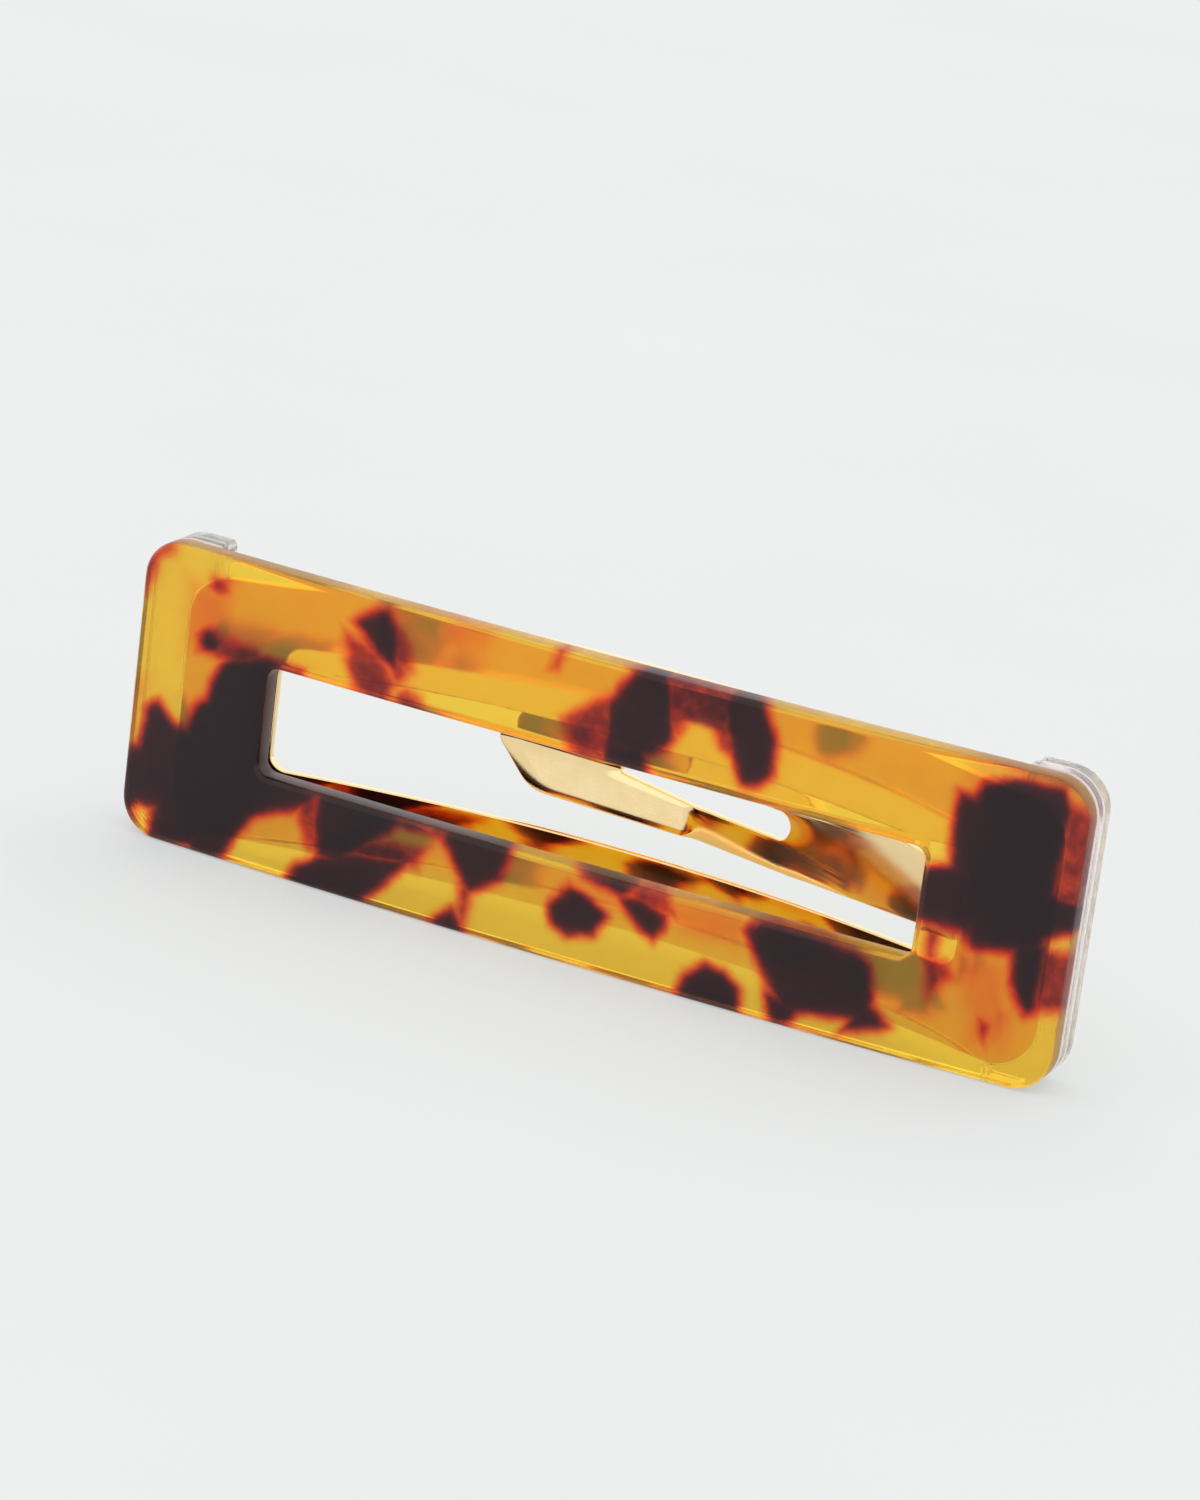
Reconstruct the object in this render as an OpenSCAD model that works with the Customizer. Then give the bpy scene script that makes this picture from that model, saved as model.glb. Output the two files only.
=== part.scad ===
// Rectangular acetate snap hair clip, standing on its long edge.
// X runs along the clip, -Y is the decorated face, +Z is up. The origin is the centre of the
// front plate's bottom edge, half-way through the plate's thickness.

/* [Front plate] */
// Length of the acetate plate
plate_l = 80; // [66:0.5:96]
// Height of the plate, its short side
plate_h = 24.5; // [20:0.1:30]
// Thickness of the plate
plate_t = 2.2; // [1.6:0.1:3]
// Radius of the plate's four corners
plate_corner_r = 3.2; // [2:0.1:5]
// How far the middle of the plate stands in front of its ends
plate_bow = 1.1; // [0.8:0.1:2]
// Solid length between the window and each end of the plate
end_w = 12; // [10:0.5:15]
// Width of the bars above and below the window
bar_w = 7.85; // [6:0.05:9]
// Radius of the window's four corners
window_corner_r = 1.0; // [0.5:0.1:2]

/* [Clear end caps] */
// Length of each clear cap along the clip
cap_l = 5.7; // [5:0.1:8]
// Thickness of the clear caps
cap_t = 1.7; // [1.5:0.1:3]

/* [Snap frame] */
// Thickness of the spring steel
metal_t = 0.6; // [0.4:0.05:0.8]
// Adhesive film between the steel and the acetate on each side
glue_t = 0.15; // [0.05:0.05:0.2]
// Distance from the plate's left end to the steel
left_inset = 3.8; // [2.5:0.1:4.5]
// Distance from the plate's right end to the steel
right_inset = 2.0; // [1.6:0.1:3.5]
// Distance from the plate's long edge to an arm, before the clip is set low
side_inset = 1.65; // [1.2:0.05:2.5]
// How far the steel is set below the plate's centre line
clip_drop = 0.6; // [0:0.1:0.9]
// Radius of the frame's outer corners
clip_corner_r = 3.5; // [2:0.1:5]
// Width of the upper and lower arms
arm_w = 6.0; // [4.5:0.1:7.2]
// Length of the closed bridge at the left end
left_bridge_l = 7.2; // [6:0.1:9]
// Length of the bridge that carries the tongue
right_bridge_l = 8.0; // [6:0.1:9]
// How far the arms bow away from the plate
arm_lift = 6.1; // [4.5:0.1:7.5]
// Radius of the opening's corners
opening_corner_r = 1.4; // [0.8:0.1:2]

/* [Tongue] */
// Gap between the tongue and each arm
tongue_gap = 0.9; // [0.6:0.05:1.2]
// How much narrower each side of the tongue is at its root
root_taper = 1.2; // [0.4:0.05:1.4]
// Length over which the tongue widens from its root
root_taper_l = 16; // [8:1:20]
// Reach of the tongue from the hinge line to its nose
tongue_reach = 44; // [34:0.5:46]
// Radius of the tongue's nose
nose_r = 1.0; // [0.6:0.1:1.2]
// Half-angle of the tongue's pointed end
nose_angle = 43; // [35:1:55]
// Angle at which the tongue leaves the bridge
root_angle = 21; // [18:0.5:28]
// Length of that first, steeper part
root_l = 16; // [8:0.5:18]
// Angle of the middle of the tongue
mid_angle = 14.3; // [12:0.1:18]
// Distance along the tongue from the hinge line to its crease
crease_at = 27; // [22:0.5:30]
// Angle of the tongue beyond the crease
tip_angle = 4; // [2:1:7]
// Distance from the hinge line to the near end of the tongue's slot
slot_setback = 16.8; // [14:0.1:19]
// Length of the slot in the tongue
slot_l = 16; // [12:0.5:20]
// Width of the slot in the tongue
slot_w = 2.2; // [1.6:0.1:2.4]
// Length over which the slot narrows towards the nose
slot_taper_l = 6.5; // [4:0.5:10]
// Radius of the slot's narrow end
slot_tip_r = 0.3; // [0.2:0.05:0.5]

/* [Fits] */
// How far the tongue's rolled root stands proud of the steel on each side
roll_proud = 0.08; // [0.05:0.01:0.15]
// Clearance between the rolled root and its seat in the bridge
hinge_clear = 0.05; // [0.03:0.01:0.1]
// Clearance between the spacers and the edge of the steel
spacer_clear = 0.1; // [0.05:0.05:0.3]

/* [Hidden] */

amber = "#d9962c";
gold = "#e3b778";
clear_acetate = "#e2dae0";

// The plate, spacers and caps are bent about one upright axis behind the clip
bow_r = (pow(plate_l / 2, 2) + pow(plate_bow, 2)) / (2 * plate_bow);
bow_fn = 720;
spacer_t = metal_t + 2 * glue_t;
back_d = plate_t / 2;
cap_front_d = back_d + spacer_t;
cap_back_d = cap_front_d + cap_t;

// Outline of the steel
clip_z = plate_h / 2 - clip_drop;
clip_x0 = left_inset - plate_l / 2;
clip_x1 = plate_l / 2 - right_inset;
clip_h = plate_h - 2 * side_inset;
opening_h = clip_h - 2 * arm_w;
opening_x0 = clip_x0 + left_bridge_l;
opening_x1 = clip_x1 - right_bridge_l;

// The arms start to lift just inside the caps
cap_inner_x = plate_l / 2 - cap_l;
lift_half_l = cap_inner_x - 0.2;
steel_d = back_d + glue_t + metal_t / 2;
steel_steps = 56;

// Hinge line of the tongue, at the middle of the bridge's free edge
hinge_x = opening_x1;
hinge_y = steel_y(hinge_x);
knuckle_r = metal_t / 2 + roll_proud;
tongue_w = opening_h - 2 * tongue_gap;
root_w = tongue_w - 2 * root_taper;
bend_l = 3;
tongue_steps = 60;
nose_x = hinge_x - tongue_reach;
arc_steps = 10;

// Depth, large enough to cut through every layer of the clip
reach_y = 40;

// Y of a surface a distance d behind the plate's mid surface, at x
function layer_y(x, d) = bow_r - sqrt(pow(bow_r - d, 2) - x * x);

// Y of the middle of the steel in the frame, at x
function steel_y(x) =
    layer_y(x, steel_d) + (abs(x) < lift_half_l ? arm_lift * (1 - pow(x / lift_half_l, 2)) : 0);

// Smooth step from 0 to 1 as t goes from 0 to 1
function ease(t) = t <= 0 ? 0 : t >= 1 ? 1 : t * t * (3 - 2 * t);

// Angle of the tongue a distance s along it from the hinge line
function tongue_angle(s) =
    root_angle
    + (mid_angle - root_angle) * ease((s - root_l) / bend_l + 0.5)
    + (tip_angle - mid_angle) * ease((s - crease_at) / bend_l + 0.5);

// Middle line of the tongue seen from above, walked out from the hinge line
tongue_step = (tongue_reach + 6) / tongue_steps;
tongue_line = [for (i = 0, p = [hinge_x, hinge_y]; i <= tongue_steps;
    p = p + tongue_step * [-cos(tongue_angle(i * tongue_step)), sin(tongue_angle(i * tongue_step))],
    i = i + 1) p];

// The tongue's middle line moved sideways by d
function tongue_side(d) = [for (i = [0 : tongue_steps])
    tongue_line[i] + d * [sin(tongue_angle(i * tongue_step)), cos(tongue_angle(i * tongue_step))]];

function reversed(list) = [for (i = [len(list) - 1 : -1 : 0]) list[i]];

function arc(cx, r, from, to) =
    [for (i = [0 : arc_steps]) let (a = from + (to - from) * i / arc_steps) [cx + r * cos(a), r * sin(a)]];

// Rectangle with round corners, centred on the origin
module rounded_rect(l, h, r) {
    square([l - 2 * r, h], center = true);
    square([l, h - 2 * r], center = true);
    for (sx = [-1, 1], sy = [-1, 1])
        translate([sx * (l / 2 - r), sy * (h / 2 - r)]) circle(r = r, $fn = 48);
}

// Stands a drawing of the clip's face upright and gives it depth in Y
module face_block() {
    translate([0, reach_y / 2, 0]) rotate([90, 0, 0]) linear_extrude(height = reach_y) children();
}

// The bent layer between two distances behind the plate's mid surface
module bent_layer(d0, d1) {
    translate([0, bow_r, -1]) difference() {
        cylinder(r = bow_r - d0, h = plate_h + 2, $fn = bow_fn);
        translate([0, 0, -1]) cylinder(r = bow_r - d1, h = plate_h + 4, $fn = bow_fn);
    }
}

module plate_outline() {
    translate([0, plate_h / 2]) rounded_rect(plate_l, plate_h, plate_corner_r);
}

module window_outline() {
    translate([0, plate_h / 2])
        rounded_rect(plate_l - 2 * end_w, plate_h - 2 * bar_w, window_corner_r);
}

// Outline of the steel, grown by a clearance
module clip_outline(grow = 0) {
    translate([(clip_x0 + clip_x1) / 2, clip_z])
        rounded_rect(clip_x1 - clip_x0 + 2 * grow, clip_h + 2 * grow, clip_corner_r + grow);
}

// One end of the plate's outline; side is -1 for the left end and 1 for the right
module end_outline(side) {
    intersection() {
        plate_outline();
        translate([side * (cap_inner_x + plate_l) , plate_h / 2]) square(2 * plate_l, center = true);
    }
}

module front_plate() {
    color(amber) intersection() {
        face_block() difference() {
            plate_outline();
            window_outline();
        }
        bent_layer(-plate_t / 2, back_d);
    }
}

module end_cap(side) {
    color(clear_acetate) intersection() {
        face_block() end_outline(side);
        bent_layer(cap_front_d, cap_back_d);
    }
}

module spacer(side) {
    color(clear_acetate) intersection() {
        face_block() difference() {
            end_outline(side);
            clip_outline(spacer_clear);
        }
        bent_layer(back_d, cap_front_d);
    }
}

// The frame's steel seen from above, bowed between its two seats
module steel_section() {
    xs = concat([clip_x0 - 1],
                [for (i = [0 : steel_steps]) lift_half_l * (2 * i / steel_steps - 1)],
                [clip_x1 + 1]);
    front = [for (x = xs) [x, steel_y(x) - metal_t / 2]];
    back = [for (x = xs) [x, steel_y(x) + metal_t / 2]];
    polygon(concat(front, reversed(back)));
}

module snap_frame() {
    color(gold) difference() {
        intersection() {
            linear_extrude(height = plate_h) steel_section();
            face_block() difference() {
                clip_outline();
                translate([(opening_x0 + opening_x1) / 2, clip_z])
                    rounded_rect(opening_x1 - opening_x0, opening_h, opening_corner_r);
            }
        }
        translate([hinge_x, hinge_y, clip_z])
            cylinder(r = knuckle_r + hinge_clear, h = root_w + 4 * hinge_clear, center = true, $fn = 48);
    }
}

// The tongue's face: a narrow root, parallel sides and a pointed round nose
module tongue_outline() {
    half_w = tongue_w / 2;
    shoulder_x = nose_x + nose_r + (half_w - nose_r) / sin(nose_angle);
    polygon(concat(
        [[hinge_x, root_w / 2], [hinge_x - root_taper_l, half_w]],
        arc(shoulder_x, half_w, 90, 90 + nose_angle),
        arc(nose_x + nose_r, nose_r, 90 + nose_angle, 270 - nose_angle),
        arc(shoulder_x, half_w, 270 - nose_angle, 270),
        [[hinge_x - root_taper_l, -half_w], [hinge_x, -root_w / 2]]));
}

// The tongue's slot: a round end near the root, parallel sides, then a narrow end
module slot_outline() {
    wide_x = hinge_x - slot_setback - slot_w / 2;
    tip_x = hinge_x - slot_setback - slot_l + slot_tip_r;
    hull() {
        for (x = [wide_x, tip_x - slot_tip_r + slot_taper_l])
            translate([x, 0]) circle(d = slot_w, $fn = 48);
        translate([tip_x, 0]) circle(r = slot_tip_r, $fn = 24);
    }
}

module tongue() {
    color(gold) union() {
        intersection() {
            linear_extrude(height = plate_h)
                polygon(concat(tongue_side(-metal_t / 2), reversed(tongue_side(metal_t / 2))));
            face_block() translate([0, clip_z]) difference() {
                tongue_outline();
                slot_outline();
            }
        }
        translate([hinge_x, hinge_y, clip_z])
            cylinder(r = knuckle_r, h = root_w - 2 * hinge_clear, center = true, $fn = 48);
    }
}

front_plate();
snap_frame();
tongue();
end_cap(-1);  // left_end_cap
end_cap(1);  // right_end_cap
spacer(-1);  // left_spacer
spacer(1);  // right_spacer
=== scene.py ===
import math

import bmesh
import bpy
from mathutils import Matrix, Vector


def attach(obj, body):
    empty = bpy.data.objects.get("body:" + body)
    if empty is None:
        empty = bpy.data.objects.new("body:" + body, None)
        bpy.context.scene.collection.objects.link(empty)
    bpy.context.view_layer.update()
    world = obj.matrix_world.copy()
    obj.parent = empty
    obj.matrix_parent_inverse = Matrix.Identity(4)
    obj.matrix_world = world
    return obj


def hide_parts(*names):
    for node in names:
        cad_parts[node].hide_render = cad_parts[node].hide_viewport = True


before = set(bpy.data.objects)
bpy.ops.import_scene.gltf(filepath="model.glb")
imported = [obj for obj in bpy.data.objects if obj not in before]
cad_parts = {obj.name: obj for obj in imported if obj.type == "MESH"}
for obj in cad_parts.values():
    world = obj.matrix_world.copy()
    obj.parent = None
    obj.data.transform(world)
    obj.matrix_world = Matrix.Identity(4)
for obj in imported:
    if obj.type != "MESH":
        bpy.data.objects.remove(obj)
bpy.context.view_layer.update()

MM = 0.001

# ---- driving sizes in millimetres: those of the CAD part; CLIP_ is the outline of the steel ----
PLATE_L, PLATE_H, PLATE_T = 80.0, 24.5, 2.2
PLATE_CORNER, PLATE_BOW = 3.2, 1.1
END_W, BAR_W, WINDOW_CORNER = 12.0, 7.85, 1.0
CAP_L, CAP_T = 5.7, 1.7
METAL_T, GLUE_T = 0.6, 0.15
LEFT_INSET, RIGHT_INSET, SIDE_INSET = 3.8, 2.0, 1.65
CLIP_DROP, CLIP_CORNER = 0.6, 3.5
ARM_W, ARM_LIFT, ARM_START = 6.0, 6.1, 0.2
LEFT_BRIDGE, RIGHT_BRIDGE, OPENING_CORNER = 7.2, 8.0, 1.4
TONGUE_REACH, TONGUE_GAP = 44.0, 0.9
ROOT_TAPER, ROOT_TAPER_L = 1.2, 16.0
NOSE_R, NOSE_ANGLE = 1.0, math.radians(43)
ROOT_ANGLE, MID_ANGLE, TIP_ANGLE = (math.radians(a) for a in (21, 14.3, 4))
ROOT_LEN, CREASE_AT, BEND_L = 16.0, 27.0, 3.0
SLOT_SETBACK, SLOT_L, SLOT_W = 16.8, 16.0, 2.2
SLOT_TAPER_L, SLOT_TIP_R = 6.5, 0.3
ROLL_PROUD, HINGE_CLEAR, SPACER_CLEAR = 0.08, 0.05, 0.1

# ---- sizes in millimetres of what only these finer meshes have ----
PLATE_FILLET, STEEL_FILLET, CAP_FILLET, SPACER_FILLET = 0.5, 0.12, 0.3, 0.05
CAP_CUT_CORNER = 0.5  # the caps' corners on the side of the window
SPACER_GAP = 0.01  # between a spacer and the plate or cap
ROLL_CENTRE_R, ROLL_CHAMFER = 0.1, 0.1
DISH_SLOPE = math.tan(math.radians(10))  # of the dished steel past the crease, across the tongue
DISH_START_L = 1.2  # length over which the dish sets in
DISH_SOFT = 0.04  # rounds the bottom of the dish, in square millimetres
DISH_LEVEL = 1.9  # distance from the tongue's centre line where the dish moves nothing

# ---- how finely the meshes are divided ----
LINE_STEP, LINE_SPARE = 0.05, 6.0  # the tongue's middle line, and how far it runs past the nose
LONG_N, SHORT_N, CORNER_N = 96, 30, 10
TONGUE_SIDE_N, TONGUE_TIP_N, TONGUE_END_N = 150, 60, 24  # for the tongue and its slot alike
SLOT_CORNER_N, SLOT_END_N = 6, 16
SPACER_N, ROLL_N, FILLET_STEPS, FACE_RINGS = 220, 32, 4, 6
MERGE_DISTANCE = 1e-7  # metres

# ---- sizes that follow from these ----
BOW_R = ((PLATE_L / 2) ** 2 + PLATE_BOW**2) / (2 * PLATE_BOW)
SPACER_T = METAL_T + 2 * GLUE_T
BACK_D = PLATE_T / 2
CLIP_Z = PLATE_H / 2 - CLIP_DROP
CLIP_X0, CLIP_X1 = LEFT_INSET - PLATE_L / 2, PLATE_L / 2 - RIGHT_INSET
CLIP_H = PLATE_H - 2 * SIDE_INSET
OPENING_H = CLIP_H - 2 * ARM_W
OPENING_X0, OPENING_X1 = CLIP_X0 + LEFT_BRIDGE, CLIP_X1 - RIGHT_BRIDGE
CAP_INNER_X = PLATE_L / 2 - CAP_L
LIFT_HALF_L = CAP_INNER_X - ARM_START
STEEL_D = BACK_D + GLUE_T + METAL_T / 2
ROLL_R = METAL_T / 2 + ROLL_PROUD


def layer_y(x, d):
    """Y of a surface a distance d behind the bent plate's mid surface."""
    return BOW_R - math.sqrt((BOW_R - d) ** 2 - x * x)


def steel_y(x):
    """Y of the middle of the frame's steel."""
    lift = ARM_LIFT * (1 - (x / LIFT_HALF_L) ** 2) if abs(x) < LIFT_HALF_L else 0.0
    return layer_y(x, STEEL_D) + lift


HINGE_X, HINGE_Y = OPENING_X1, steel_y(OPENING_X1)
TONGUE_W = OPENING_H - 2 * TONGUE_GAP
ROOT_W = TONGUE_W - 2 * ROOT_TAPER


def ease(t):
    """Smooth step from 0 to 1 as t goes from 0 to 1."""
    t = min(1.0, max(0.0, t))
    return t * t * (3 - 2 * t)


def tongue_angle(s):
    """Angle of the tongue's middle line a distance s along it from the hinge line."""
    return (
        ROOT_ANGLE
        + (MID_ANGLE - ROOT_ANGLE) * ease((s - ROOT_LEN) / BEND_L + 0.5)
        + (TIP_ANGLE - MID_ANGLE) * ease((s - CREASE_AT) / BEND_L + 0.5)
    )


def walk_tongue():
    """The tongue's middle line as (x, y, angle), from the hinge line to past the nose."""
    line, s, x, y = [], 0.0, HINGE_X, HINGE_Y
    while s < TONGUE_REACH + LINE_SPARE:
        a = tongue_angle(s)
        line.append((x, y, a))
        x, y, s = x - LINE_STEP * math.cos(a), y + LINE_STEP * math.sin(a), s + LINE_STEP
    return line


TONGUE_LINE = walk_tongue()


def tongue_at(x):
    """(y, angle) of the tongue's middle line at x."""
    low, high = 0, len(TONGUE_LINE) - 1
    while high - low > 1:
        mid = (low + high) // 2
        if TONGUE_LINE[mid][0] > x:
            low = mid
        else:
            high = mid
    (x0, y0, a0), (x1, y1, a1) = TONGUE_LINE[low], TONGUE_LINE[high]
    t = min(1.0, max(0.0, (x0 - x) / (x0 - x1)))
    return y0 + (y1 - y0) * t, a0 + (a1 - a0) * t


CREASE_X = next(x for i, (x, y, a) in enumerate(TONGUE_LINE) if i * LINE_STEP >= CREASE_AT)


# ---- bends: each turns a flat (x, depth, z) into a place in the frame ----
def plate_bend(x, d, z):
    return (x, layer_y(x, d), z)


def steel_bend(x, d, z):
    return (x, steel_y(x) + d, z)


def tongue_bend(x, d, z):
    # past the crease the steel is dished, its two edges turned a little towards the plate
    y, a = tongue_at(x)
    off = z - CLIP_Z
    dish = DISH_SLOPE * ease((CREASE_X - x) / DISH_START_L)
    y -= dish * (math.sqrt(off * off + DISH_SOFT) - DISH_LEVEL)
    return (x + d * math.sin(a), y + d * math.cos(a), z)


# ---- outlines: closed loops of (x, z) points ----
def arc(cx, cz, r, a0, a1, n=CORNER_N):
    """Points on a circle from angle a0 to a1, in degrees."""
    return [
        (cx + r * math.cos(math.radians(a0 + (a1 - a0) * i / n)),
         cz + r * math.sin(math.radians(a0 + (a1 - a0) * i / n)))
        for i in range(n + 1)
    ]


def run(points, n):
    """n points spaced evenly along an open line, its last point left to the next run."""
    lengths = [math.dist(p, q) for p, q in zip(points, points[1:])]
    total, out = sum(lengths), []
    for i in range(n):
        want, k = total * i / n, 0
        while k < len(lengths) - 1 and want > lengths[k]:
            want -= lengths[k]
            k += 1
        t = want / lengths[k] if lengths[k] else 0.0
        (ax, az), (bx, bz) = points[k], points[k + 1]
        out.append((ax + (bx - ax) * t, az + (bz - az) * t))
    return out


def drawn_in(loop, inset):
    """The loop moved inwards by inset; the loop runs counter-clockwise."""
    out, n = [], len(loop)
    for i, (x, z) in enumerate(loop):
        (ax, az), (bx, bz) = loop[i - 1], loop[(i + 1) % n]
        tx, tz = bx - ax, bz - az
        length = math.hypot(tx, tz) or 1.0
        out.append((x - tz / length * inset, z + tx / length * inset))
    return out


def rounded(x0, x1, z0, z1, radii):
    """A rectangle with round corners: radii are right-top, left-top, left-bottom, right-bottom."""
    rt, lt, lb, rb = radii
    corners = [
        arc(x1 - rt, z1 - rt, rt, 0, 90), arc(x0 + lt, z1 - lt, lt, 90, 180),
        arc(x0 + lb, z0 + lb, lb, 180, 270), arc(x1 - rb, z0 + rb, rb, 270, 360),
    ]
    loop = []
    for k, n in enumerate((LONG_N, SHORT_N, LONG_N, SHORT_N)):
        loop += run(corners[k], CORNER_N)
        loop += run([corners[k][-1], corners[(k + 1) % 4][0]], n)
    return loop


def tongue_loop():
    """The tongue's outline: narrow at the root, widening, then pointed with a round nose."""
    half, nose_x = TONGUE_W / 2, HINGE_X - TONGUE_REACH
    deg = math.degrees(NOSE_ANGLE)
    shoulder = nose_x + NOSE_R + (half - NOSE_R) / math.sin(NOSE_ANGLE)
    root, wide = (HINGE_X, ROOT_W / 2), (HINGE_X - ROOT_TAPER_L, half)
    nose = arc(shoulder, 0, half, 90, 90 + deg)
    nose += arc(nose_x + NOSE_R, 0, NOSE_R, 90 + deg, 270 - deg)
    nose += arc(shoulder, 0, half, 270 - deg, 270)
    loop = run([root, wide, nose[0]], TONGUE_SIDE_N) + run(nose, TONGUE_TIP_N)
    loop += run([nose[-1], (wide[0], -half), (HINGE_X, -ROOT_W / 2)], TONGUE_SIDE_N)
    loop += run([(HINGE_X, -ROOT_W / 2), root], TONGUE_END_N)
    return [(x, z + CLIP_Z) for x, z in loop]


def slot_loop():
    """The slot's outline: round near the root, narrowing to a small round end."""
    half = SLOT_W / 2
    wide_x = HINGE_X - SLOT_SETBACK - half
    tip_x = HINGE_X - SLOT_SETBACK - SLOT_L + SLOT_TIP_R
    taper_x = tip_x - SLOT_TIP_R + SLOT_TAPER_L
    turn = math.degrees(math.acos((half - SLOT_TIP_R) / (taper_x - tip_x)))
    side = [(wide_x, half)] + arc(taper_x, 0, half, 90, 180 - turn, SLOT_CORNER_N)
    tip = arc(tip_x, 0, SLOT_TIP_R, 180 - turn, 180 + turn)
    loop = run(side + [tip[0]], TONGUE_SIDE_N) + run(tip, TONGUE_TIP_N)
    loop += run([tip[-1]] + [(x, -z) for x, z in reversed(side)], TONGUE_SIDE_N)
    loop += run(arc(wide_x, 0, half, 270, 450, SLOT_END_N), TONGUE_END_N)
    return [(x, z + CLIP_Z) for x, z in loop]


# ---- meshes ----
def link(name, bm):
    """Turns a finished mesh into an object; its flat end faces stay flat shaded."""
    bmesh.ops.remove_doubles(bm, verts=bm.verts, dist=MERGE_DISTANCE)
    bmesh.ops.recalc_face_normals(bm, faces=bm.faces)
    for face in bm.faces:
        face.smooth = len(face.verts) <= 4
    mesh = bpy.data.meshes.new(name)
    bm.to_mesh(mesh)
    bm.free()
    obj = bpy.data.objects.new(name, mesh)
    bpy.context.scene.collection.objects.link(obj)
    return obj


def rim(loop, way, near, far, fillet):
    """Loops round one edge of a sheet, from depth near to depth far, with both corners rounded.
    way is 1 where the sheet lies inside the loop and -1 where the loop is a hole in it."""
    side = 1 if far > near else -1
    out = []
    for k in range(2):
        for i in range(FILLET_STEPS + 1):
            a = math.pi / 2 * (i if k == 0 else FILLET_STEPS - i) / FILLET_STEPS
            depth = fillet * (1 - math.cos(a)) * side
            out.append((drawn_in(loop, way * fillet * (1 - math.sin(a))),
                        near + depth if k == 0 else far - depth))
    return out


def sheet(bm, outer, inner, d0, d1, fillet, bend):
    """A sheet between depths d0 and d1 with rounded edges; inner is its hole, or None."""

    def row(loop, d):
        return [bm.verts.new([c * MM for c in bend(x, d, z)]) for x, z in loop]

    def between(a, b, depth):
        return [
            ([(p[0] + (q[0] - p[0]) * i / FACE_RINGS, p[1] + (q[1] - p[1]) * i / FACE_RINGS)
              for p, q in zip(a, b)], depth)
            for i in range(1, FACE_RINGS)
        ]

    path = rim(outer, 1, d0, d1, fillet)
    if inner is not None:
        hole = rim(inner, -1, d1, d0, fillet)
        path += between(path[-1][0], hole[0][0], d1) + hole
        path += between(hole[-1][0], path[0][0], d0)
    rows = [row(loop, d) for loop, d in path]
    if inner is None:
        bm.faces.new(rows[0][::-1])
        bm.faces.new(rows[-1])
        pairs = list(zip(rows, rows[1:]))
    else:
        pairs = list(zip(rows, rows[1:] + rows[:1]))
    for a, b in pairs:
        for i in range(len(a)):
            j = (i + 1) % len(a)
            bm.faces.new((a[i], a[j], b[j], b[i]))


def sheet_object(name, outer, inner, d0, d1, fillet, bend):
    bm = bmesh.new()
    sheet(bm, outer, inner, d0, d1, fillet, bend)
    return link(name, bm)


def dress(obj, material, body, node):
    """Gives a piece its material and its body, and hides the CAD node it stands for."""
    obj.data.materials.append(material)
    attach(obj, body)
    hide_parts(node)


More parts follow.
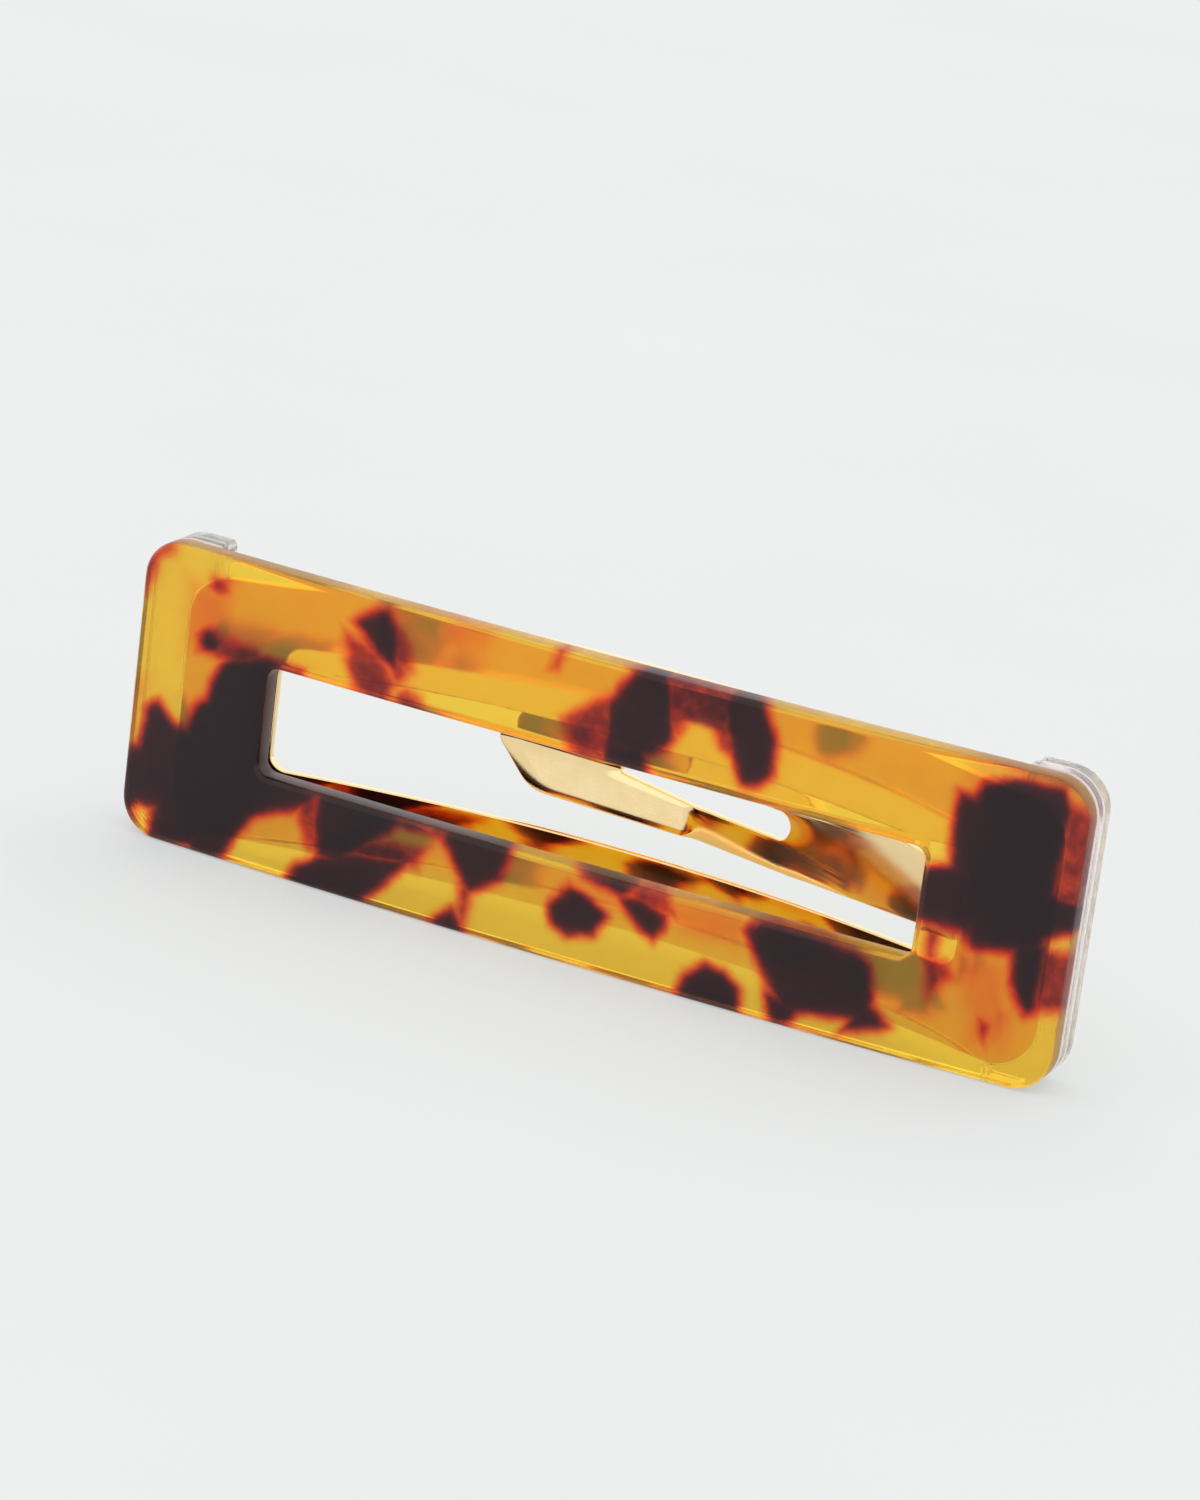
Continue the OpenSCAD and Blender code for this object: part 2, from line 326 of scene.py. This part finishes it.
# ---- the tortoiseshell pattern: chips of coloured acetate as convex outlines, (x, z) in mm ----
DARK_CHIPS = [
    [(-25, 17.0), (-28, 17.2), (-30.3, 16.6), (-31.7, 15.8), (-32.5, 14.2), (-32.5, 6), (-25, 6)],
    [(-33, -1), (-31, -1), (-28.5, 4), (-28.5, 6), (-33, 6)],
    [(-29, 4), (-22.5, 7), (-22.5, 9), (-29, 9)],
    [(-23, 7.6), (-5.5, 7.6), (-5.5, 9.2), (-23, 9.2)],
    [(-21.5, 3), (-19.5, 3), (-16, 6.5), (-15.5, 8.5), (-22, 8.5), (-22, 5)],
    [(-32, 12.9), (-33.5, 12.2), (-34.0, 10.8), (-34.3, 6), (-31, 6)],
    [(-36.0, 9.9), (-26, 9.2), (-20, 8.8), (-28.4, 3.7), (-30.3, -1), (-36.8, -1)],
    [(-38.0, 10.8), (-37.3, 11.3), (-36.2, 10.2), (-35, 9), (-35, 3), (-38.2, 3), (-38.4, 8)],
    [(-41, 5.6), (-38.8, 7.2), (-36.5, 7.0), (-36.7, 3.6), (-38.4, 2.6), (-39.6, 1.2), (-41, 1.0)],
    [(-33.9, 17.6), (-33.3, 18.1), (-32.5, 17.8), (-32.6, 17.0), (-33.6, 16.9)],
    [(-24.6, -1), (-23.2, 1.5), (-21.0, 2.9), (-18, 3.8), (-13.6, 4.4), (-16.0, 1.9), (-18.3, -1)],
    [(-22.0, 7.6), (-21.0, 2.8), (-18, 3.4), (-15.6, 6.6), (-12.8, 8.0), (-12, 9.2), (-22, 9.2)],
    [(-12.4, 9.2), (-10.6, 6.9), (-9.9, 5.4), (-8.2, 3.7), (-6.0, 5.2), (-5.5, 7.0), (-5.3, 9.2)],
    [(-12.6, -1), (-10.4, 0.8), (-9.6, 1.6), (-8.4, 0.2), (-8.2, -1)],
    [(-21.5, 21.4), (-20, 22.7), (-18.0, 23.7), (-17.2, 22.6), (-16.8, 20.4), (-16.7, 18.7),
     (-18, 20)],
    [(1.6, 22), (3.3, 24), (4.6, 26), (6.0, 26), (6.5, 22.5), (7.1, 20.4), (6.5, 19.3),
     (4.9, 18.4), (1.6, 18)],
    [(1.6, 18.6), (4.7, 18.5), (4.9, 17.7), (5.9, 15), (1.6, 15)],
    [(10.8, 23.2), (11.8, 26), (15.0, 26), (15.1, 22), (16.0, 20.3), (14.4, 18.4), (13.4, 18.0),
     (12.6, 18.2), (11.9, 19.8), (11.5, 21.6)],
    [(-0.4, 9.4), (5.4, 9.4), (5.6, 7.9), (4.6, 6.8), (3.2, 7.0), (1.2, 7.7)],
    [(4.8, 6.4), (6.0, 6.7), (8.2, 5.9), (8.1, 5.0), (7.3, 3.9), (6.4, 4.7), (5.0, 5.4)],
    [(0.3, 6.1), (2.1, 5.5), (3.3, 4.7), (2.5, 3.2), (0.2, 2.6), (-0.8, 3.0), (-1.2, 4.2),
     (-0.5, 5.3)],
    [(10.0, -1), (10.5, 1.5), (12.1, 3.0), (13.6, 2.8), (14.9, 1.8), (15.3, -1)],
    [(15.1, 6.2), (15.6, 7.1), (16.5, 7.7), (19.0, 7.8), (24, 7.3), (25.1, 6.5), (25.7, 4.2),
     (25.3, 2.3), (18.2, 1.5), (16.7, 4.2)],
    [(25, 4.4), (26.2, 3.2), (27.3, 2.7), (26.4, 2.1), (24.2, 1.4), (23.5, -1), (22.4, -1),
     (21.8, 1.2)],
    [(17.5, 2.2), (20, 1.8), (19.1, 0.5), (18.3, 0.0), (17.8, 0.7)],
    [(29.8, 21.5), (38.7, 21.6), (38.4, 17), (38.2, 11.4), (33, 10.4), (30.3, 15), (30.3, 18)],
    [(32.1, 22.8), (34.3, 23.6), (38.0, 23.7), (38.8, 22.4), (38.6, 20), (31, 20)],
    [(26.5, 14.8), (29.2, 15.5), (31, 16.3), (41, 15.4), (41, 11.5), (36, 11.5), (33.8, 10.5),
     (31.5, 10.1), (29.8, 10.7), (26.5, 10.9)],
    [(36.2, 11.5), (38.3, 11.5), (38.3, 6.9), (37.8, 6.5), (37.2, 7.0), (36.6, 8.4)],
]
RED_CHIPS = [
    [(-41, 19.8), (-39.3, 20.0), (-38.7, 21.8), (-38.5, 26), (-41, 26)],
    [(-38.9, 22.9), (-37.3, 23.8), (-36.6, 26), (-39.5, 26)],
    [(-33.3, 22.7), (-32.4, 22.6), (-32.2, 21.9), (-32.9, 21.5), (-33.5, 21.9)],
    [(-34.3, 18.0), (-33.2, 18.6), (-29.0, 17.9), (-28.2, 17.0), (-31, 16.2), (-34.2, 16.6)],
    [(-41, 2.6), (-38.5, 2.9), (-38.2, 0.6), (-39, -1), (-41, -1)],
    [(-24.4, 7.2), (-22, 8), (-21.4, 2.6), (-22.6, 3.4)],
    [(-16.5, 5.6), (-12.6, 5.6), (-13.0, 4.2), (-18.0, 3.6), (-19, 4.6)],
    [(-9.0, 4.6), (-8.0, 3.8), (-8.4, 0.6), (-9.0, 1.4)],
    [(-17.8, 23.6), (-15.8, 21.7), (-15.3, 19.6), (-16.5, 18.3), (-17.4, 19)],
    [(-21.3, 21.2), (-21.0, 19), (-20, 17.0), (-17.2, 15.8), (-16.7, 18.3), (-18.2, 20.6)],
    [(-16.4, 17.7), (-15.6, 18.1), (-14.4, 17.7), (-13.7, 15.6), (-16.2, 15.6)],
    [(-2.4, 25), (-2.9, 25), (-3.6, 23.0), (-3.3, 23.0)],
    [(-2.4, 19.6), (0.2, 21.2), (2.4, 23.1), (2.8, 15.6), (-0.8, 15.6), (-1.7, 17.8)],
    [(5.6, 26), (12, 26), (11.6, 21.8), (6.3, 21.8)],
    [(9.8, 22.3), (12.3, 22.3), (12.4, 19.4), (10.9, 20.4)],
    [(5.8, 22.3), (8.4, 22.3), (7.4, 20.5), (6.3, 20.8)],
    [(5.4, 8.9), (8, 8.2), (9.0, 6.4), (5.6, 6.2), (4.8, 7.4)],
    [(38.4, 23.6), (41, 22), (41, 15), (38.3, 15)],
    [(38.1, 11.6), (41, 11.6), (41, 7.2), (38.4, 6.6)],
    [(29.4, 8.4), (31.0, 8.5), (31.7, 7.5), (30.8, 6.4), (30.1, 5.6), (29.7, 6.8)],
    [(29.4, 10.8), (30.4, 10.8), (30.1, 8.3), (29.5, 8.5)],
    [(34.3, 4.9), (35.1, 4.4), (34.9, 3.4), (34.5, 3.8)],
]
ORANGE_CHIPS = [
    [(-12.2, 25), (-8.6, 25), (-9.4, 22.8), (-11.6, 22.6)],
    [(-40.5, 13), (-38.6, 13), (-38.8, 8), (-40.5, 8)],
    [(-35.6, 22), (-32, 20.8), (-33, 18.5), (-35.4, 16.5)],
    [(31.6, 9.4), (35.6, 9.0), (35.8, 6), (33.6, 4.6)],
    [(33.2, 6.2), (36.6, 6.0), (36.2, 3.2), (33.6, 2.8)],
    [(0.4, 8.2), (4.8, 6.8), (5.2, 5.2), (3.0, 5.6)],
    [(8.6, 8.6), (14.8, 8.4), (14.6, 5.2), (9.4, 4.8)],
    [(30.6, 24.2), (33.5, 25.2), (41, 25.2), (38, 23.2), (31, 22)],
]


# ---- materials: lengths in millimetres, unless named otherwise ----
CHIP_LEAN_X, CHIP_LEAN_Z = 0.26, 0.16  # how far the chips lean for each mm of depth
CHIP_BLEND, CHIP_CORNER_BLEND = 0.5, 0.25  # how softly chips merge, and how round their corners are
WARP_SPAN = 0.9  # how far the chips' outlines waver
# where a chip starts and stops fading, measured outwards from its outline
DARK_FADE, RED_FADE, ORANGE_FADE = (-0.9, 1.25), (-0.9, 1.1), (-0.8, 1.4)
# density of the colour, 1 in a dark chip: a red chip has the least value and up to RED_CLOUD more
RED_CLOUD, RED_LEAST, ORANGE_DENSITY = 0.6, 0.27, 0.16
CLOUD_SPAN, STREAK_SPAN = 0.10, 0.08  # how much clouds and streaks change the density
STREAK_STRETCH, SCRATCH_STRETCH, GRAIN_STRETCH = (0.12, 0.5, 0.9), (0.6, 1.0, 5.0), (1.0, 1.0, 7.0)
# colour of the acetate from clear amber to the middle of a dark chip
TORTOISE_COLOURS = [
    (0.00, (1.00, 0.67, 0.045)), (0.10, (1.00, 0.56, 0.034)), (0.24, (0.98, 0.29, 0.018)),
    (0.40, (0.80, 0.080, 0.010)), (0.58, (0.30, 0.018, 0.009)), (0.76, (0.060, 0.006, 0.008)),
    (1.00, (0.018, 0.004, 0.007)),
]
FACE_FROM, FACE_FULL = 0.70, 0.95  # distance from the mid surface where a polished face starts
CUT_ROUGHNESS, FACE_POLISH = 0.35, 0.32  # roughness of the cut edges, and how much less a face has
GOLD_COLOURS = [(0.3, (0.95, 0.71, 0.36)), (0.7, (0.98, 0.76, 0.43))]
CLEAR_COLOURS = [(0.3, (0.985, 0.94, 0.945)), (0.7, (1.0, 0.97, 0.975))]
ACETATE_IOR, TORTOISE_CLARITY, CLEAR_CLARITY = 1.45, 0.86, 0.97
TORTOISE_GLOSS_TINT = (1.0, 0.80, 0.86, 1.0)
# the least roughness, and how much more the grain or cloud adds
GOLD_ROUGHNESS, CLEAR_ROUGHNESS = (0.03, 0.05), (0.06, 0.08)
FINE_BUMP, FINER_BUMP = 0.0001, 0.00005  # metres


class Nodes:
    """Builds and joins the shader nodes of one material."""

    def __init__(self, name):
        self.material = bpy.data.materials.new(name)
        self.material.use_nodes = True
        self.tree = self.material.node_tree
        self.shader = self.tree.nodes["Principled BSDF"]

    def add(self, kind, *inputs, out=0, **options):
        node = self.tree.nodes.new(kind)
        for key, value in options.items():
            setattr(node, key, value)
        for i, value in enumerate(inputs):
            if isinstance(value, bpy.types.NodeSocket):
                self.tree.links.new(value, node.inputs[i])
            else:
                node.inputs[i].default_value = value
        return node.outputs[out]

    def math(self, op, *inputs):
        return self.add("ShaderNodeMath", *inputs, operation=op)

    def vector(self, op, *inputs, out=0):
        return self.add("ShaderNodeVectorMath", *inputs, operation=op, out=out)

    def noise(self, place, scale, detail, rough, out=0):
        node = self.tree.nodes.new("ShaderNodeTexNoise")
        self.tree.links.new(place, node.inputs["Vector"])
        node.inputs["Scale"].default_value = scale
        node.inputs["Detail"].default_value = detail
        node.inputs["Roughness"].default_value = rough
        return node.outputs[out]

    def ramp(self, value, stops):
        node = self.tree.nodes.new("ShaderNodeValToRGB")
        marks = node.color_ramp.elements
        while len(marks) < len(stops):
            marks.new(0.5)
        for mark, (at, colour) in zip(marks, stops):
            mark.position = at
            mark.color = (*colour, 1)
        self.tree.links.new(value, node.inputs["Fac"])
        return node.outputs["Color"]

    def place_mm(self):
        """The piece's own place in the frame, in millimetres."""
        here = self.add("ShaderNodeTexCoord").node.outputs["Object"]
        return self.vector("MULTIPLY", here, (1 / MM, 1 / MM, 1 / MM))

    def bump(self, height, strength, distance):
        node = self.tree.nodes.new("ShaderNodeBump")
        node.inputs["Strength"].default_value = strength
        node.inputs["Distance"].default_value = distance
        self.tree.links.new(height, node.inputs["Height"])
        self.tree.links.new(node.outputs["Normal"], self.shader.inputs["Normal"])

    def set(self, **values):
        for key, value in values.items():
            socket = self.shader.inputs[key.replace("_", " ")]
            if isinstance(value, bpy.types.NodeSocket):
                self.tree.links.new(value, socket)
            else:
                socket.default_value = value


def chip_field(n, where, chips):
    """Distance in mm outside the nearest chip (below zero inside); where holds (x, z, 1)."""
    field = None
    for chip in chips:
        cx = sum(x for x, z in chip) / len(chip)
        cz = sum(z for x, z in chip) / len(chip)
        inside = None
        for (ax, az), (bx, bz) in zip(chip, chip[1:] + chip[:1]):
            nx, nz = bz - az, ax - bx
            size = math.hypot(nx, nz)
            nx, nz = nx / size, nz / size
            if nx * (cx - ax) + nz * (cz - az) > 0:
                nx, nz = -nx, -nz
            edge = n.vector("DOT_PRODUCT", where, (nx, nz, -(nx * ax + nz * az)), out=1)
            inside = (edge if inside is None
                      else n.math("SMOOTH_MAX", inside, edge, CHIP_CORNER_BLEND))
        field = inside if field is None else n.math("SMOOTH_MIN", field, inside, CHIP_BLEND)
    return field


def smooth_range(n, value, ends, to_ends):
    """Takes value from to_ends[0] at ends[0] smoothly to to_ends[1] at ends[1]."""
    node = n.tree.nodes.new("ShaderNodeMapRange")
    node.interpolation_type = "SMOOTHSTEP"
    n.tree.links.new(value, node.inputs["Value"])
    for key, number in zip(("From Min", "From Max", "To Min", "To Max"), (*ends, *to_ends)):
        node.inputs[key].default_value = number
    return node.outputs["Result"]


def tortoise_acetate():
    """Translucent amber acetate with dark, red and orange chips right through the sheet."""
    n = Nodes("tortoise_acetate")
    place = n.place_mm()
    parts = n.add("ShaderNodeSeparateXYZ", place).node.outputs
    # the chips lean a little as they go back through the sheet
    depth = n.math("ADD", parts["Y"], PLATE_T / 2)
    x = n.math("MULTIPLY_ADD", depth, CHIP_LEAN_X, parts["X"])
    z = n.math("MULTIPLY_ADD", depth, CHIP_LEAN_Z, parts["Z"])
    half = WARP_SPAN / 2
    warp = n.noise(place, scale=0.55, detail=3.0, rough=0.55, out=1)
    warp = n.vector("MULTIPLY_ADD", warp, (WARP_SPAN, WARP_SPAN, 0.0), (-half, -half, 0.0))
    where = n.vector("ADD", n.add("ShaderNodeCombineXYZ", x, z, 1.0), warp)
    dark = smooth_range(n, chip_field(n, where, DARK_CHIPS), DARK_FADE, (1.0, 0.0))
    red = smooth_range(n, chip_field(n, where, RED_CHIPS), RED_FADE, (1.0, 0.0))
    red_cloud = n.noise(place, scale=0.6, detail=2.0, rough=0.6)
    red = n.math("MULTIPLY", red, n.math("MULTIPLY_ADD", red_cloud, RED_CLOUD, RED_LEAST))
    orange = smooth_range(n, chip_field(n, where, ORANGE_CHIPS), ORANGE_FADE, (ORANGE_DENSITY, 0.0))
    density = n.math("MAXIMUM", n.math("MAXIMUM", dark, red), orange)
    # clouding inside the amber and the chips
    cloud = n.noise(place, scale=0.28, detail=3.0, rough=0.6)
    streak = n.vector("MULTIPLY", place, STREAK_STRETCH)
    streak = n.noise(streak, scale=1.0, detail=3.0, rough=0.6)
    cloud = n.math("ADD", n.math("MULTIPLY_ADD", cloud, CLOUD_SPAN, -CLOUD_SPAN / 2),
                   n.math("MULTIPLY_ADD", streak, STREAK_SPAN, -STREAK_SPAN / 2))
    colour = n.ramp(n.math("ADD", density, cloud), TORTOISE_COLOURS)
    # the two faces are polished, the cut edges between them duller
    bow = n.math("POWER", parts["X"], 2.0)
    from_mid = n.math("ABSOLUTE", n.math("MULTIPLY_ADD", bow, -0.5 / BOW_R, parts["Y"]))
    face = smooth_range(n, from_mid, (FACE_FROM, FACE_FULL), (0.0, 1.0))
    n.set(Base_Color=colour, Transmission_Weight=TORTOISE_CLARITY, IOR=ACETATE_IOR,
          Roughness=n.math("MULTIPLY_ADD", face, -FACE_POLISH, CUT_ROUGHNESS),
          Specular_Tint=TORTOISE_GLOSS_TINT)
    scratches = n.vector("MULTIPLY", place, SCRATCH_STRETCH)
    scratches = n.noise(scratches, scale=1.0, detail=3.0, rough=0.6)
    n.bump(scratches, strength=0.02, distance=FINE_BUMP)
    return n.material


def gold_steel():
    """Polished pale gold plating with a fine grain along the steel."""
    n = Nodes("gold_steel")
    place = n.place_mm()
    cloud = n.noise(place, scale=0.5, detail=3.0, rough=0.6)
    grain = n.noise(n.vector("MULTIPLY", place, GRAIN_STRETCH), scale=3.0, detail=4.0, rough=0.7)
    least, more = GOLD_ROUGHNESS
    n.set(Base_Color=n.ramp(cloud, GOLD_COLOURS), Metallic=1.0,
          Roughness=n.math("MULTIPLY_ADD", grain, more, least))
    n.bump(grain, strength=0.03, distance=FINER_BUMP)
    return n.material


def clear_acetate():
    """Clear acetate with a faint lavender tint and slightly uneven polish."""
    n = Nodes("clear_acetate")
    place = n.place_mm()
    cloud = n.noise(place, scale=0.4, detail=3.0, rough=0.6)
    least, more = CLEAR_ROUGHNESS
    n.set(Base_Color=n.ramp(cloud, CLEAR_COLOURS), Transmission_Weight=CLEAR_CLARITY,
          IOR=ACETATE_IOR, Roughness=n.math("MULTIPLY_ADD", cloud, more, least))
    ripple = n.noise(place, scale=6.0, detail=3.0, rough=0.6)
    n.bump(ripple, strength=0.04, distance=FINER_BUMP)
    return n.material


TORTOISE, GOLD, CLEAR = tortoise_acetate(), gold_steel(), clear_acetate()


# ---- pieces ----
def front_plate():
    outer = rounded(-PLATE_L / 2, PLATE_L / 2, 0, PLATE_H, [PLATE_CORNER] * 4)
    x, z0, z1 = PLATE_L / 2 - END_W, BAR_W, PLATE_H - BAR_W
    inner = rounded(-x, x, z0, z1, [WINDOW_CORNER] * 4)
    obj = sheet_object("tortoise_plate", outer, inner, -BACK_D, BACK_D, PLATE_FILLET, plate_bend)
    dress(obj, TORTOISE, "clip", "front_plate")


def snap_frame():
    z0, z1 = CLIP_Z - CLIP_H / 2, CLIP_Z + CLIP_H / 2
    outer = rounded(CLIP_X0, CLIP_X1, z0, z1, [CLIP_CORNER] * 4)
    z0, z1 = CLIP_Z - OPENING_H / 2, CLIP_Z + OPENING_H / 2
    # the opening starts behind the rolled root
    x1 = OPENING_X1 + ROLL_R + HINGE_CLEAR
    inner = rounded(OPENING_X0, x1, z0, z1, [OPENING_CORNER] * 4)
    half = METAL_T / 2
    obj = sheet_object("steel_frame", outer, inner, -half, half, STEEL_FILLET, steel_bend)
    dress(obj, GOLD, "clip", "snap_frame")


def tongue():
    half = METAL_T / 2
    bm = bmesh.new()
    sheet(bm, tongue_loop(), slot_loop(), -half, half, STEEL_FILLET, tongue_bend)
    # the rolled root: rings along the hinge line, chamfered at both ends
    reach, inner_r = ROOT_W / 2 - HINGE_CLEAR, ROLL_R - ROLL_CHAMFER
    profile = [(ROLL_CENTRE_R, reach), (inner_r, reach), (ROLL_R, reach - ROLL_CHAMFER)]
    profile = [(r, -z) for r, z in profile] + profile[::-1]
    rows = [
        [bm.verts.new(((HINGE_X + px) * MM, (HINGE_Y + py) * MM, (CLIP_Z + z) * MM))
         for px, py in arc(0, 0, r, 0, 360 * (ROLL_N - 1) / ROLL_N, ROLL_N - 1)]
        for r, z in profile
    ]
    bm.faces.new(rows[0][::-1])
    bm.faces.new(rows[-1])
    for a, b in zip(rows, rows[1:]):
        for i in range(ROLL_N):
            j = (i + 1) % ROLL_N
            bm.faces.new((a[i], a[j], b[j], b[i]))
    dress(link("steel_tongue", bm), GOLD, "tongue", "tongue")


def cap(side, name, node):
    """A clear end cap; side is -1 at the left end and 1 at the right."""
    x0, x1 = sorted((side * CAP_INNER_X, side * PLATE_L / 2))
    out, cut = PLATE_CORNER, CAP_CUT_CORNER
    radii = [out, cut, cut, out] if side > 0 else [cut, out, out, cut]
    d0 = BACK_D + SPACER_T
    outer = rounded(x0, x1, 0, PLATE_H, radii)
    obj = sheet_object(name, outer, None, d0, d0 + CAP_T, CAP_FILLET, plate_bend)
    dress(obj, CLEAR, "clip", node)


def spacer(side, name, node):
    """The clear layer that fills the space round the steel, between the plate and a cap."""
    r, z1 = PLATE_CORNER, PLATE_H
    outer = arc(PLATE_L / 2 - r, r, r, -90, 0) + arc(PLATE_L / 2 - r, z1 - r, r, 0, 90)
    c, q = SPACER_CLEAR, CLIP_CORNER + SPACER_CLEAR
    centre = (CLIP_X1 if side > 0 else -CLIP_X0) + c - q
    low, high = CLIP_Z - CLIP_H / 2 - c + q, CLIP_Z + CLIP_H / 2 + c - q
    turn = math.degrees(math.acos((CAP_INNER_X - centre) / q))
    inner = arc(centre, high, q, turn, 0) + arc(centre, low, q, 0, -turn)
    loop = [(CAP_INNER_X, 0.0)] + outer + [(CAP_INNER_X, z1)] + inner
    loop = run(loop + loop[:1], SPACER_N)
    if side < 0:
        loop = [(-x, z) for x, z in reversed(loop)]
    d0, d1 = BACK_D + SPACER_GAP, BACK_D + SPACER_T - SPACER_GAP
    obj = sheet_object(name, loop, None, d0, d1, SPACER_FILLET, plate_bend)
    dress(obj, CLEAR, "clip", node)


front_plate()
snap_frame()
tongue()
cap(-1, "left_cap", "left_end_cap")
cap(1, "right_cap", "right_end_cap")
spacer(-1, "left_film", "left_spacer")
spacer(1, "right_film", "right_spacer")


# ---- stage, lights and camera ----
# the floor is a sheet lit from beneath as well as from above
FLOOR_COLOURS = [(0.3, (0.36, 0.37, 0.37)), (0.7, (0.37, 0.38, 0.38))]
FLOOR_GLOW, FLOOR_ROUGHNESS = (0.41, 0.42, 0.416, 1), 0.9
FLOOR_HALF, FLOOR_DROP = 4.0, 0.00001  # metres
SKY_STRENGTH = 1.2
# the view of the photograph: angles in degrees, distances in millimetres
CAMERA_AZ, CAMERA_EL, CAMERA_ROLL = (math.radians(a) for a in (24.05, 18.19, 7.455))
CAMERA_DISTANCE, CAMERA_TARGET = 415.85, Vector((0.73, 0.0, 17.21))
LENS, SENSOR = 132.0, 36.0
NEAR, FAR = 0.01, 20.0  # metres
LIGHT_BOUNCES, GLOSSY_BOUNCES = 32, 24  # enough for light to leave the layers of clear acetate


def floor():
    bm = bmesh.new()
    bmesh.ops.create_grid(bm, x_segments=1, y_segments=1, size=FLOOR_HALF)
    bmesh.ops.translate(bm, vec=(0, 0, -FLOOR_DROP), verts=bm.verts)
    mesh = bpy.data.meshes.new("floor")
    bm.to_mesh(mesh)
    bm.free()
    obj = bpy.data.objects.new("floor", mesh)
    bpy.context.scene.collection.objects.link(obj)
    n = Nodes("paper_sweep")
    grain = n.noise(n.place_mm(), scale=0.02, detail=3.0, rough=0.5)
    n.set(Base_Color=n.ramp(grain, FLOOR_COLOURS), Roughness=FLOOR_ROUGHNESS,
          Specular_IOR_Level=0.0, Emission_Color=FLOOR_GLOW, Emission_Strength=1.0)
    mesh.materials.append(n.material)


floor()

world = bpy.data.worlds.new("studio")
bpy.context.scene.world = world
world.use_nodes = True
sky = world.node_tree.nodes["Background"]
sky.inputs["Color"].default_value = (1, 1, 1, 1)
sky.inputs["Strength"].default_value = SKY_STRENGTH

camera = bpy.data.cameras.new("camera")
camera.lens, camera.sensor_width = LENS, SENSOR
camera.clip_start, camera.clip_end = NEAR, FAR
rig = bpy.data.objects.new("camera", camera)
back = Vector((
    math.sin(CAMERA_AZ) * math.cos(CAMERA_EL),
    -math.cos(CAMERA_AZ) * math.cos(CAMERA_EL),
    math.sin(CAMERA_EL),
))
rig.location = (CAMERA_TARGET + back * CAMERA_DISTANCE) * MM
turn = (-back).to_track_quat("-Z", "Y").to_matrix().to_4x4()
rig.rotation_euler = (turn @ Matrix.Rotation(CAMERA_ROLL, 4, "Z")).to_euler()
bpy.context.scene.collection.objects.link(rig)
bpy.context.scene.camera = rig

bpy.context.scene.view_settings.view_transform = "Standard"
bpy.context.scene.cycles.max_bounces = LIGHT_BOUNCES
bpy.context.scene.cycles.transmission_bounces = LIGHT_BOUNCES
bpy.context.scene.cycles.glossy_bounces = GLOSSY_BOUNCES
